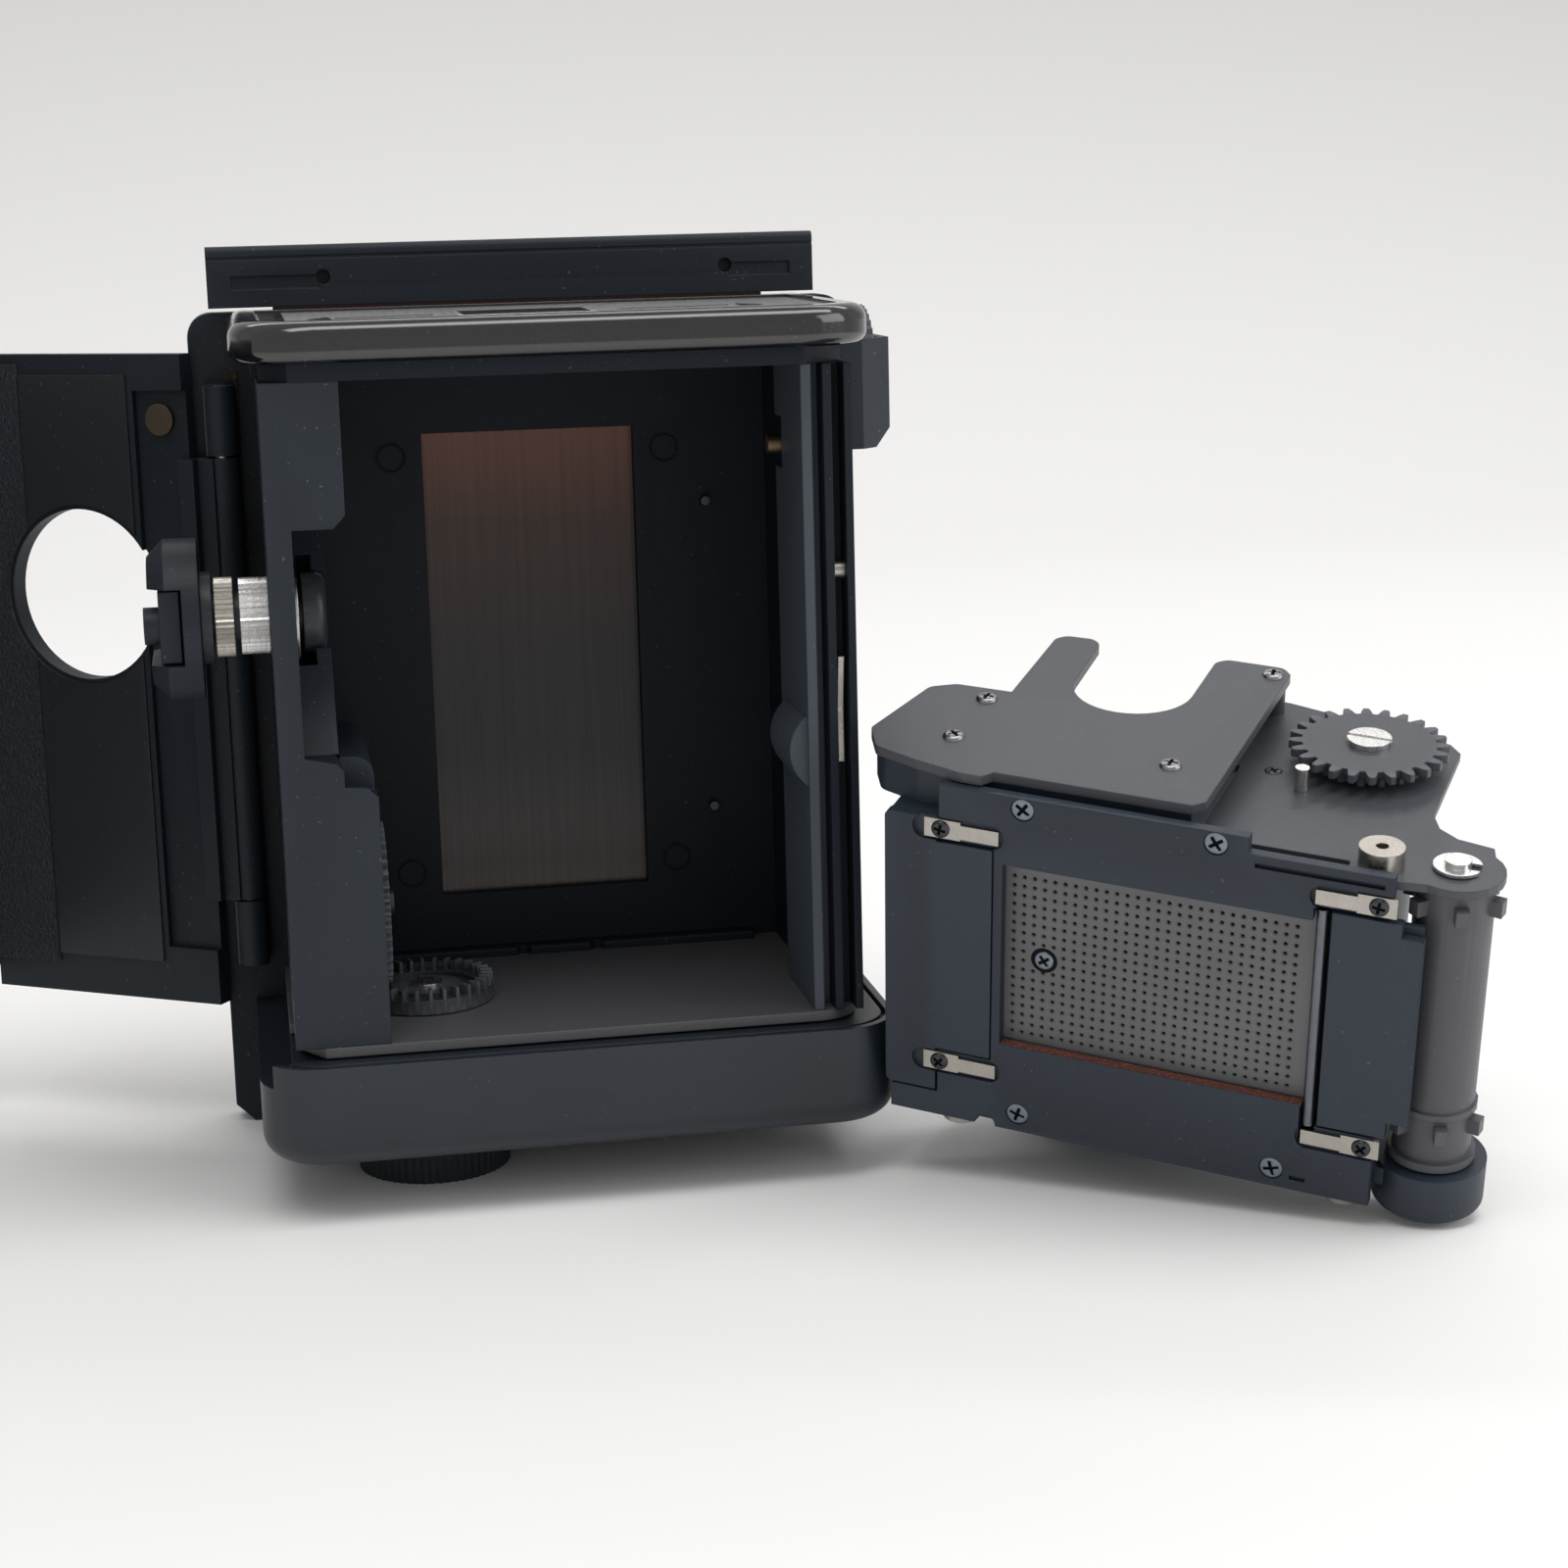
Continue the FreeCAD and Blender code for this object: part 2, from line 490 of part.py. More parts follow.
gearPlan = [(3.7, 3.0), (3.7, 21.4), (0.6, 21.4), (0.6, 39.4), (2.0, 40.4), (5.0, 40.2), (25.4, 35.6), (27.0, 33.6),
            (27.3, 17.0), (28.6, 14.0), (31.0, 12.2), (35.2, 11.4)]
gearPlan += [(drumX + lobeR * math.cos(a), drumY + lobeR * math.sin(a))
             for a in [math.radians(50 - 15 * i) for i in range(12)]]
gearPlan += [(24.4, -0.3), (21.6, -0.3), (21.0, 3.0)]


def clipPocket(x, z, way):
    low, high = sorted((x - 3.4 * way, x + 7.6 * way))
    pocket = box(low, high, gateFront - 0.1, gateFront + 0.5, z - 1.5, z + 1.5)
    return roundAlong(pocket, 1.45, "y")


def makeInsertFront():
    frame = prism([(-25.3, bottomLow), (27.0, bottomLow), (27.0, 19.8), (10.8, 19.8), (10.8, 21.8), (-25.3, 21.8)],
                  gateFront, gateBack, "y")
    frame = frame.fuse(box(-31.2, -25.3, gateFront, gateBack, bottomLow, -19.5))
    tools = [box(windowX[0], windowX[1], -5, 3, windowZ[0], windowZ[1])]
    tools.append(box(-26.0, -18.6, -5, 3, -13.6, 14.6))
    tools.append(box(18.4, 28.0, -5, 3, -13.6, 14.6))
    tools.append(box(18.4, 20.2, -5, 3, -16.4, 14.6))
    tools.append(box(11.6, 26.0, -5, gateFront + 0.6, 18.2, 18.8))
    tools.append(box(17.8, 19.6, -5, gateFront + 0.5, -21.4, -20.8))
    tools.append(rod(-19.2, -5, bottomLow, 1.3, 6, "y"))
    tools += [rod(x, -5, z, 0.55, 6, "y") for x, z, way in clipSpots]
    tools += [clipPocket(x, z, way) for x, z, way in clipSpots]
    tools += [rod(x, -5, z, 0.65, 6, "y") for x, z in gateScrewSpots]
    tools += [rod(x, gateFront - 0.1, z, 1.4, 0.6, "y") for x, z in gateScrewSpots]
    frame = cutAll(frame, tools)
    leftPlate = join(box(-31.9, -18.8, gateFront, gateBack, -13.4, 14.4),
                     box(-31.9, -25.6, gateFront, gateBack, -19.2, 17.4))
    leftPlate = roundAlong(leftPlate, 0.7, "y", lambda c: c.x < -31)
    leftPlate = cutAll(leftPlate, [clipPocket(x, z, way) for x, z, way in clipSpots[:2]])
    leftPlate = cutAll(leftPlate, [rod(x, -5, z, 0.55, 6, "y") for x, z, way in clipSpots[:2]])
    frame = frame.cut(box(-32, -25.29, -5, 3, -19.4, 17.6))
    rightPlate = join(box(20.5, 28.2, gateFront, gateBack, -13.3, 14.3),
                      box(27.3, 30.6, gateFront, gateBack, -11.2, 12.6))
    rightPlate = cutAll(rightPlate, [clipPocket(x, z, way) for x, z, way in clipSpots[2:]])
    rightPlate = cutAll(rightPlate, [rod(x, -5, z, 0.55, 6, "y") for x, z, way in clipSpots[2:]])
    strip = box(windowX[0], windowX[1], gateFront + 0.1, gateBack, windowZ[0], windowZ[0] + 0.4)
    frame = frame.cut(box(windowX[0], windowX[1], gateFront + 0.1, 0, windowZ[0] - 0.4, windowZ[0] + 0.1))
    strip.translate(vec(0, 0, -0.4))
    clips = []
    screws = []
    for x, z, way in clipSpots:
        left, right = sorted((x - 2.0 * way, x + 2.4 * way))
        wide = box(left, right, clipFront, clipFront + 0.4, z - 1.2, z + 1.2)
        left, right = sorted((x, x + 7.0 * way))
        tongue = box(left, right, clipFront, clipFront + 0.4, z - 1.0, z + 0.8)
        clips.append(join(wide, tongue).cut(rod(x, -5, z, 0.55, 6, "y")))
        shank = rod(x, clipFront - 0.1, z, 0.5, 1.3, "y")
        screws.append(rod(x, clipFront - 0.45, z, 1.05, 0.45, "y").fuse(shank))
    for x, z in gateScrewSpots:
        shank = rod(x, gateFront + 0.4, z, 0.6, 0.9, "y")
        screws.append(rod(x, gateFront + 0.02, z, 1.35, 0.45, "y").fuse(shank))
    for x, y in coverScrewSpots:
        screws.append(rod(x, y, coverTop, 1.2, 0.55).fuse(rod(x, y, coverLow + 0.1, 0.6, 1.3)))
    screws.append(rod(7.6, 21.5, gearPlateTop - 0.2, 1.0, 0.3))
    return {"gate_plate": frame, "left_plate": leftPlate, "right_plate": rightPlate, "window_strip": strip,
            "film_clips": Part.makeCompound(clips), "insert_screws": Part.makeCompound(screws)}


def makeInsertFrame():
    webs = [box(-31.4, 26.0, gateBack, 4.0, 16.2, gearPlateLow)]
    webs.append(box(-31.4, 26.0, gateBack, 4.0, bottomTop, -19.6))
    webs.append(box(-23.6, 26.0, 2.6, 4.0, -19.6, 16.2))
    webs.append(box(-22.4, -21.4, gateBack, 2.6, -19.6, 16.2))
    webs.append(box(24.6, 26.0, gateBack, 2.6, -19.6, 16.2))
    frame = join(*webs)
    boss = rod(drumX, drumY, -24.6, bossR, 6.0)
    boss = boss.makeFillet(1.0, [e for e in boss.Edges if abs(e.CenterOfMass.z + 24.6) < 1e-3])
    arm = box(24.0, drumX, drumY - 4.8, drumY + 3.0, bottomTop, -19.0)
    frame = join(frame, boss, arm)
    frame = frame.cut(rod(drumX, drumY, -23.0, 1.5 + runFit, 8))
    frame = frame.fuse(box(2.0, 3.4, 4.0, 33.0, bottomTop, gearPlateLow))
    plan = [(-31.4, gateBack), (26.4, gateBack), (26.4, 15.0), (27.0, 17.0), (27.0, 33.6), (25.4, 35.6),
            (3.0, 40.0), (-16.0, 40.0), (-24.6, 33.0), (-24.6, 21.0), (-31.9, 16.0)]
    bottom = prism(plan, bottomLow, bottomTop)
    bottom = bottom.cut(rod(spoolX, spoolY, bottomLow - 1, 1.5 + runFit, 4))
    bottom = bottom.cut(rod(drumX, drumY, bottomLow - 1, bossR + 0.1, 4))
    cup = rod(cassetteX, cassetteY, -33.9, 12.4, -33.9 * -1 + bottomLow)
    cup = cup.cut(rod(cassetteX, cassetteY, -32.7, 11.2, 12))
    cup = cup.fuse(rod(cassetteX, cassetteY, -32.8, 3.0, 7.0))
    return {"insert_frame": frame, "bottom_plate": bottom, "cassette_cup": cup}


def makeInsertTop():
    cover = prism(coverPlan, coverLow, coverTop)
    cover = roundAlong(cover, 1.6, "z", lambda c: c.x < -28 or (c.y > 38 and c.x < 4.5))
    cover = cutAll(cover, [rod(x, y, coverLow - 1, 0.65, 4) for x, y in coverScrewSpots])
    blockPlan = [(-36.3, 6.7), (-34.2, 2.8), (-28.8, 1.0), (-19.6, 1.0), (3.4, 1.2), (3.4, 20.6), (-1.0, 20.6),
                 (-4.2, 19.2), (-11.4, 17.4), (-18.6, 19.2), (-22.0, 20.6), (-31.4, 20.6), (-34.0, 19.0)]
    block = prism(blockPlan, gearPlateLow, coverLow)
    block = roundAlong(block, 2.0, "z", lambda c: c.x < -27)
    block = block.cut(box(-24.0, 0.0, 4.0, 15.0, gearPlateLow - 1, coverLow - 1.2))
    post = rod(*coverScrewSpots[3], gearPlateTop, 1.6, coverLow - gearPlateTop)
    tools = [rod(x, y, coverLow - 1.5, 0.65, 4) for x, y in coverScrewSpots]
    block = cutAll(block, tools[:3])
    plate = prism(gearPlan, gearPlateLow, gearPlateTop)
    plate = cutAll(plate, [rod(spoolX, spoolY, 16, 2.0 + runFit, 4), rod(drumX, drumY, 16, 1.5 + runFit, 4),
                           rod(7.6, 21.5, gearPlateTop - 0.2, 1.05, 1)])
    plate = plate.fuse(post).cut(tools[3])
    pin = rod(11.8, 17.9, gearPlateTop, 0.85, 2.9)
    bushes = [ring(24.4, 3.0, gearPlateTop, 2.55, 0.7, 2.5)]
    bushes += [ring(x, 2.6, bottomLow - 2.3, 2.3, 0.8, 2.3) for x in (-23.8, 23.3)]
    return {"top_cover": cover, "top_block": block, "gear_plate": plate, "stop_pin": pin,
            "locating_bushes": Part.makeCompound(bushes)}


def makeInsertMoving():
    plate = box(-20.8, 21.0, 0, 1.2, -13.0, 15.0)
    plate = plate.cut(ring(-12.4, -0.1, 0.2, 1.75, 1.4, 0.5, "y"))
    spool = rod(spoolX, spoolY, -20.9, 6.2, 38.1).fuse(rod(spoolX, spoolY, 17.0, 2.0, 3.2))
    spool = spool.fuse(rod(spoolX, spoolY, bottomLow + 0.1, 1.5, 2.0))
    spool = spool.cut(box(spoolX - 0.6, spoolX + 0.6, spoolY - 7, spoolY - 3, -17, 14))
    big = gear(takeUpModule, takeUpTeeth, spoolX, spoolY, 20.2, 1.0)
    small = gear(takeUpModule, 17, spoolX, spoolY, 18.7, 1.1)
    gears = big.fuse(small).fuse(rod(spoolX, spoolY, 19.7, 4.2, 0.6)).cut(rod(spoolX, spoolY, 18, 2.0, 2.2))
    screw = rod(spoolX, spoolY, 21.2, 2.6, 0.7)
    screw = screw.cut(box(spoolX - 3, spoolX + 3, spoolY - 0.3, spoolY + 0.3, 21.55, 22.5))
    drum = rod(drumX, drumY, -17.4, drumR, 34.4)
    for row in perfRows:
        for i in range(drumTeeth):
            tooth = box(-0.75, 0.75, drumR - 0.4, drumR + 1.25, row - 0.95, row + 0.95)
            tooth.rotate(vec(0, 0, 0), vec(0, 0, 1), toothStart + 360.0 * i / drumTeeth)
            tooth.translate(vec(drumX, drumY, 0))
            drum = drum.fuse(tooth)
    drum = drum.fuse(rod(drumX, drumY, -18.3, drumR + 0.6, 1.0))
    drum = drum.fuse(rod(drumX, drumY, -11.6, drumR + 0.3, 0.8))
    drum = drum.cut(rod(drumX, drumY, -19, 1.5, 40))
    shaft = rod(drumX, drumY, -22.8, 1.5, 42.4)
    clip = ring(drumX, drumY, gearPlateTop + 0.15, 2.7, 1.4, 0.4)
    clip = clip.cut(box(drumX + 1.0, drumX + 4, drumY - 0.8, drumY + 0.8, 18, 20))
    roller = rod(19.3, -1.0, -13.9, 0.7, 28.1)
    turn = rod(-27.8, 4.4, -19.3, 3.6, 35.2)
    turn = turn.cut(ring(-27.8, 4.4, -14.0, 4.0, 3.1, 25.0))
    return {"pressure_plate": plate, "take_up_spool": spool, "take_up_gear": gears, "gear_screw": screw,
            "sprocket_drum": drum, "drum_shaft": shaft.fuse(clip), "guide_roller": roller,
            "turn_roller": turn}


leftWall, rightWall = makeSideWalls()
floorPlate, roofPlate = makePlates()
topCap, topPanel = makeTopCap()
dialBlock, speedDial = makeDial()
slideSheet, slideHandle = makeDarkSlide()
baseKnob, knobShaft, crownGear, driveGear = makeDrive()

save({
    "mount_plate": makeMountPlate(), "front_wall": makeFrontWall(), "left_wall": leftWall, "right_wall": rightWall,
    "gear_cover": makeGearCover(), "right_liner": makeLiner(), "floor_plate": floorPlate,
    "top_inner_plate": roofPlate, "base_cap": makeBaseCap(), "top_cap": topCap, "top_panel": topPanel,
    "dial_block": dialBlock, "speed_dial": speedDial, "dark_slide_sheet": slideSheet,
    "dark_slide_handle": slideHandle, "base_knob": baseKnob, "knob_shaft": knobShaft, "crown_gear": crownGear,
    "drive_gear": driveGear,
})
save(makeSmallFittings())
save(makeRewind())
save(makeDoor(), inDoor)
save(makeInsertFront(), inInsert)
save(makeInsertFrame(), inInsert)
save(makeInsertTop(), inInsert)
save(makeInsertMoving(), inInsert)
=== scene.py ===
import bpy
import json
import math
import numpy as np
from mathutils import Matrix, Vector


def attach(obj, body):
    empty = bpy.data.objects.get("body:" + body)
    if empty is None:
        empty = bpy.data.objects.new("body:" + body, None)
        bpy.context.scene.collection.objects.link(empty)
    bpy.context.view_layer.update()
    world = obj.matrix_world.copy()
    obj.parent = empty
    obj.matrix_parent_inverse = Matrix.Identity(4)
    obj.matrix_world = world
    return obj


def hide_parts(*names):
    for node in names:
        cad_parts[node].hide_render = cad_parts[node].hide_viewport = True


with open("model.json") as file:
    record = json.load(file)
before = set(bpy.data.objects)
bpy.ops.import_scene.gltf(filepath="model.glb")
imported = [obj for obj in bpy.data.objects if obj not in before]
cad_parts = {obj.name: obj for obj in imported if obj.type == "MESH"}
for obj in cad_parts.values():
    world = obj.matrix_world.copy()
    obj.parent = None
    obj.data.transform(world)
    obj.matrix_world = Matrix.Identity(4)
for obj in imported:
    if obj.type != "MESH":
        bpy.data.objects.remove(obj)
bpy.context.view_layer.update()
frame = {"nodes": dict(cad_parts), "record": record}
print("frame loaded:", len(frame["nodes"]), "nodes")


def newMaterial(name):
    material = bpy.data.materials.new(name)
    material.use_nodes = True
    tree = material.node_tree
    return material, tree, tree.nodes["Principled BSDF"]


def addNode(tree, kind, links=None, **settings):
    node = tree.nodes.new(kind)
    for key, value in settings.items():
        if key in node.inputs.keys():
            node.inputs[key].default_value = value
        else:
            setattr(node, key, value)
    for key, source in (links or {}).items():
        tree.links.new(source, node.inputs[key])
    return node


def objectCoords(tree, scale=(1, 1, 1)):
    coords = addNode(tree, "ShaderNodeTexCoord")
    mapping = addNode(tree, "ShaderNodeMapping", {"Vector": coords.outputs["Object"]}, Scale=scale)
    return mapping.outputs["Vector"]


def noise(tree, scale, detail=3.0, rough=0.55, stretch=(1, 1, 1)):
    where = objectCoords(tree, stretch)
    node = addNode(tree, "ShaderNodeTexNoise", {"Vector": where}, Scale=scale, Detail=detail,
                   Roughness=rough)
    return node.outputs["Fac"]


def ramp(tree, fac, stops):
    node = addNode(tree, "ShaderNodeValToRGB", {"Fac": fac})
    band = node.color_ramp
    while len(band.elements) < len(stops):
        band.elements.new(0.5)
    for element, (place, colour) in zip(band.elements, stops):
        element.position = place
        element.color = (*colour, 1.0)
    return node.outputs["Color"]


def rangeOf(tree, fac, low, high, fromLow=0.3, fromHigh=0.7):
    node = addNode(tree, "ShaderNodeMapRange", {"Value": fac})
    limits = {"From Min": fromLow, "From Max": fromHigh, "To Min": low, "To Max": high}
    for key, value in limits.items():
        node.inputs[key].default_value = value
    return node.outputs["Result"]


def mixColour(tree, amount, first, second, mode="MIX"):
    node = addNode(tree, "ShaderNodeMix", data_type="RGBA", blend_type=mode)
    for socket, value in ((0, amount), (6, first), (7, second)):
        if hasattr(value, "is_linked"):
            tree.links.new(value, node.inputs[socket])
        elif socket:
            node.inputs[socket].default_value = (*value, 1.0)
        else:
            node.inputs[socket].default_value = value
    return node.outputs[2]


def bump(tree, height, distance, strength=1.0, normal=None):
    node = addNode(tree, "ShaderNodeBump", {"Height": height}, Strength=strength, Distance=distance)
    if normal is not None:
        tree.links.new(normal, node.inputs["Normal"])
    return node.outputs["Normal"]


def softEdge(tree, radius):
    return addNode(tree, "ShaderNodeBevel", Radius=radius, samples=4).outputs["Normal"]


# Moulding or paint: the colour drifts, the grain is small bumps, and rare pale specks of dust lie on it.
plasticLook = {"rough": 0.42, "vary": 0.10, "drift": 60.0, "grain": 5200.0, "depth": 0.00002, "dust": 0.12,
               "dustScale": 2200.0, "dustTone": (0.42, 0.41, 0.38), "edge": 0.00025, "gloss": 0.32,
               "worn": 1.6}


def plastic(name, colour, **more):
    look = {**plasticLook, **more}
    material, tree, shader = newMaterial(name)
    base = np.array(colour)
    drift = noise(tree, look["drift"], 3.0)
    tone = ramp(tree, drift, [(0.3, base * (1 - look["vary"])), (0.7, base * (1 + look["vary"]))])
    # Convex edges are lightened through pointiness: partly rubbed wear, partly a painted edge highlight.
    edge = addNode(tree, "ShaderNodeNewGeometry").outputs["Pointiness"]
    worn = rangeOf(tree, edge, 0.0, 0.5, 0.53, 0.62)
    tone = mixColour(tree, worn, tone, np.minimum(base * look["worn"] + 0.004, 1))
    specks = rangeOf(tree, noise(tree, look["dustScale"], 0.0), 0.0, look["dust"], 0.82, 0.86)
    tree.links.new(mixColour(tree, specks, tone, look["dustTone"]), shader.inputs["Base Color"])
    grain = noise(tree, look["grain"], 2.0)
    rough = rangeOf(tree, grain, look["rough"] - 0.06, look["rough"] + 0.08)
    tree.links.new(rough, shader.inputs["Roughness"])
    normal = bump(tree, grain, look["depth"], 1.0, softEdge(tree, look["edge"]))
    tree.links.new(normal, shader.inputs["Normal"])
    shader.inputs["Specular IOR Level"].default_value = look["gloss"]
    return material


# Plated or turned metal: warm tint, fine lay marks and uneven polish.
metalLook = {"cloud": 300.0, "lay": 4000.0, "stretch": (1, 1, 1), "rough": 0.26, "depth": 0.000006,
             "edge": 0.00015}


def metal(name, colour, **more):
    look = {**metalLook, **more}
    material, tree, shader = newMaterial(name)
    base = np.array(colour)
    cloud = noise(tree, look["cloud"], 3.0)
    tone = ramp(tree, cloud, [(0.3, base * 0.92), (0.7, np.minimum(base * 1.04, 1))])
    tree.links.new(tone, shader.inputs["Base Color"])
    lay = noise(tree, look["lay"], 2.0, 0.5, look["stretch"])
    rough = rangeOf(tree, lay, look["rough"] - 0.08, look["rough"] + 0.1)
    tree.links.new(rough, shader.inputs["Roughness"])
    normal = bump(tree, lay, look["depth"], 0.6, softEdge(tree, look["edge"]))
    tree.links.new(normal, shader.inputs["Normal"])
    shader.inputs["Metallic"].default_value = 1.0
    return material


# Rolled sheet: fine upright rolling lines, shading from red-brown at the top to grey below.
def rolledSheet(name, look):
    material, tree, shader = newMaterial(name)
    place = addNode(tree, "ShaderNodeTexCoord").outputs["Object"]
    split = addNode(tree, "ShaderNodeSeparateXYZ", {"Vector": place})
    height = rangeOf(tree, split.outputs["Z"], 0.0, 1.0, look["low"], look["high"])
    tone = ramp(tree, height, look["stops"])
    shade = rangeOf(tree, noise(tree, 2600.0, 3.0, 0.6, (1, 1, 0.012)), 0.89, 1.12)
    tree.links.new(mixColour(tree, 1.0, tone, shade, "MULTIPLY"), shader.inputs["Base Color"])
    fine = noise(tree, 9000.0, 1.0, 0.5, (1, 1, 0.004))
    tree.links.new(bump(tree, fine, 0.000012, 0.8), shader.inputs["Normal"])
    shader.inputs["Metallic"].default_value = look["metal"]
    shader.inputs["Roughness"].default_value = look["rough"]
    shader.inputs["Anisotropic"].default_value = 0.5
    return material


# Leather-like covering: raised pebbles with darker valleys between them; the darker valleys are painted
# shade in the creases.
def leatherette(name, colour, pebble, rough):
    material, tree, shader = newMaterial(name)
    cells = addNode(tree, "ShaderNodeTexVoronoi", {"Vector": objectCoords(tree)},
                    feature="DISTANCE_TO_EDGE", Scale=pebble)
    valley = rangeOf(tree, cells.outputs["Distance"], 0.0, 1.0, 0.0, 0.18)
    base = np.array(colour)
    # Valleys go down to 0.4 of the colour: painted shade.
    tree.links.new(ramp(tree, valley, [(0.0, base * 0.4), (1.0, base)]), shader.inputs["Base Color"])
    tree.links.new(bump(tree, valley, 0.00012), shader.inputs["Normal"])
    shader.inputs["Roughness"].default_value = rough
    return material


# Cloth pile: clumps of three tones, raised as small bumps.
def napped(name, colour, clump, depth):
    material, tree, shader = newMaterial(name)
    clumps = noise(tree, clump, 4.0, 0.7)
    base = np.array(colour)
    tone = ramp(tree, clumps, [(0.35, base * 0.35), (0.58, base), (0.72, base * 3.5)])
    tree.links.new(tone, shader.inputs["Base Color"])
    tree.links.new(bump(tree, clumps, depth), shader.inputs["Normal"])
    shader.inputs["Roughness"].default_value = 0.95
    shader.inputs["Specular IOR Level"].default_value = 0.1
    shader.inputs["Sheen Weight"].default_value = 0.2
    shader.inputs["Sheen Roughness"].default_value = 0.5
    return material


sheetLook = {
    "low": 0.029, "high": 0.089, "metal": 0.55, "rough": 0.42,
    "stops": [(0.0, (0.110, 0.098, 0.092)), (0.06, (0.070, 0.064, 0.062)),
              (0.3, (0.034, 0.034, 0.034)), (0.55, (0.036, 0.033, 0.033)),
              (0.8, (0.060, 0.040, 0.034)), (1.0, (0.140, 0.066, 0.048))]}

finishes = {
    "moulded_black": plastic("mouldedBlack", (0.008, 0.012, 0.017), rough=0.5, gloss=0.26),
    # A darker copy of the moulded black for the chamber's walls and inner plate: painted shade inside the
    # chamber.
    "chamber_painted_shade": plastic("chamberBlackPaintedShade", (0.004, 0.0075, 0.0125), rough=0.55, gloss=0.22),
    "moulded_grey": plastic("mouldedGrey", (0.011, 0.016, 0.023), rough=0.46, dust=0.2),
    "cap_black": plastic("capBlack", (0.012, 0.017, 0.024), rough=0.36, gloss=0.45, dust=0.06),
    # Chamber floor plate: the colour is raised to a lighter grey, painted sheen of the grazing view.
    "floor_grey_painted_sheen": plastic("floorGreyPaintedSheen", (0.060, 0.061, 0.065), rough=0.42, dust=0.2, gloss=0.6),
    # Right liner: lighter than the chamber black, painted light on its face turned toward the opening.
    "liner_grey_painted_light": plastic("linerGreyPaintedLight", (0.040, 0.050, 0.062), rough=0.5),
    "gloss_black": plastic("glossBlack", (0.005, 0.005, 0.006), rough=0.08, depth=0.000001, dust=0.1,
                           gloss=1.0),
    "leatherette": leatherette("leatherette", (0.20, 0.20, 0.203), 900.0, 0.42),
    "satin_plate": plastic("satinPlate", (0.014, 0.016, 0.019), rough=0.36),
    # The insert's black and grey get stronger edge lightening: partly wear, partly painted edge highlight.
    "insert_black": plastic("insertBlack", (0.013, 0.020, 0.031), rough=0.46, grain=6000.0, gloss=0.45,
                            worn=2.0),
    "insert_grey": plastic("insertGrey", (0.040, 0.043, 0.050), rough=0.42, grain=6000.0, gloss=0.5,
                           worn=2.0),
    "plate_grey": plastic("plateGrey", (0.140, 0.140, 0.146), rough=0.5, grain=6000.0, depth=0.000008),
    "slide_sheet": rolledSheet("slideSheet", sheetLook),
    "bright_steel": metal("brightSteel", (0.72, 0.71, 0.70), stretch=(1, 0.1, 0.1)),
    "nickel": metal("nickel", (0.48, 0.45, 0.405), cloud=400.0, lay=3000.0, rough=0.34),
    "brass": metal("dullBrass", (0.30, 0.21, 0.13), cloud=500.0, lay=3000.0, rough=0.42, depth=0.00001),
    "black_screw": metal("blackScrew", (0.16, 0.17, 0.19), cloud=900.0, lay=3000.0, rough=0.36),
    "velvet": napped("velvet", (0.011, 0.015, 0.024), 2400.0, 0.0004),
    "worn_strip": napped("wornStrip", (0.050, 0.036, 0.024), 1500.0, 0.0003),
    "red_strip": napped("redStrip", (0.16, 0.045, 0.03), 3000.0, 0.0001),
    # Gear teeth edges are lightened strongly: partly wear, mostly a painted highlight on the teeth.
    "gear_black": plastic("gearBlack", (0.030, 0.032, 0.038), rough=0.40, worn=4.0, gloss=0.5),
    "drum_grey": plastic("drumGrey", (0.075, 0.077, 0.086), rough=0.42, gloss=0.5),
    "screw_light": metal("screwLight", (0.30, 0.30, 0.31), cloud=700.0, lay=3000.0, rough=0.30),
    "screw_blue": metal("screwBlue", (0.22, 0.25, 0.30), cloud=700.0, lay=3000.0, rough=0.36),
    "screw_dark": metal("screwDark", (0.07, 0.072, 0.08), cloud=700.0, lay=3000.0, rough=0.32),
    "rivet": metal("dullRivet", (0.12, 0.095, 0.07), rough=0.5),
    # Near-black finish for hollows: painted shade in dimple floors, screw crosses and round the plate screw.
    "recess_painted_shade": plastic("recess_painted_shade", (0.003, 0.003, 0.004), rough=0.6, gloss=0.1, dust=0.0),
    "mark_black": plastic("markBlack", (0.004, 0.004, 0.005), rough=0.16, gloss=0.5, dust=0.05),
    "mark_silver": metal("markSilver", (0.60, 0.60, 0.60), rough=0.3),
}

# Nodes whose finish differs from the slot they share with others.
ownFinish = {
    # The chamber's walls and inner plate take the darker black copy: painted shade.
    "front_wall": "chamber_painted_shade", "left_wall": "chamber_painted_shade", "right_wall": "chamber_painted_shade",
    "top_inner_plate": "chamber_painted_shade", "sprocket_drum": "drum_grey", "rewind_shaft": "gear_black",
    # The floor plate's lighter grey is painted sheen.
    # The right liner's lighter grey is painted light.
    "floor_plate": "floor_grey_painted_sheen", "right_liner": "liner_grey_painted_light", "wall_pins": "screw_dark",
    "door_rivet": "rivet", "base_cap": "cap_black",
}


def dressNodes():
    for part in frame["record"]["subparts"]:
        node = frame["nodes"][part["node"]]
        node.data.materials.clear()
        node.data.materials.append(finishes[ownFinish.get(part["node"], part["material_slot"])])
    print("nodes dressed")


# The film insert stands turned, leaning and rolled.
# Its own axes, in mm, are x along the film, y back and z along the spools.
insert = {"at": (62.66, -66.86, 28.11), "turn": -34.85, "lean": 14.01, "roll": 6.49}


def insertPoints(points):
    turn = Matrix.Rotation(math.radians(insert["turn"]), 4, "Z")
    lean = Matrix.Rotation(math.radians(insert["lean"]), 4, "X")
    roll = Matrix.Rotation(math.radians(insert["roll"]), 4, "Y")
    place = np.array(turn @ lean @ roll)[:3, :3]
    return (np.asarray(points) @ place.T + np.array(insert["at"])) * 0.001


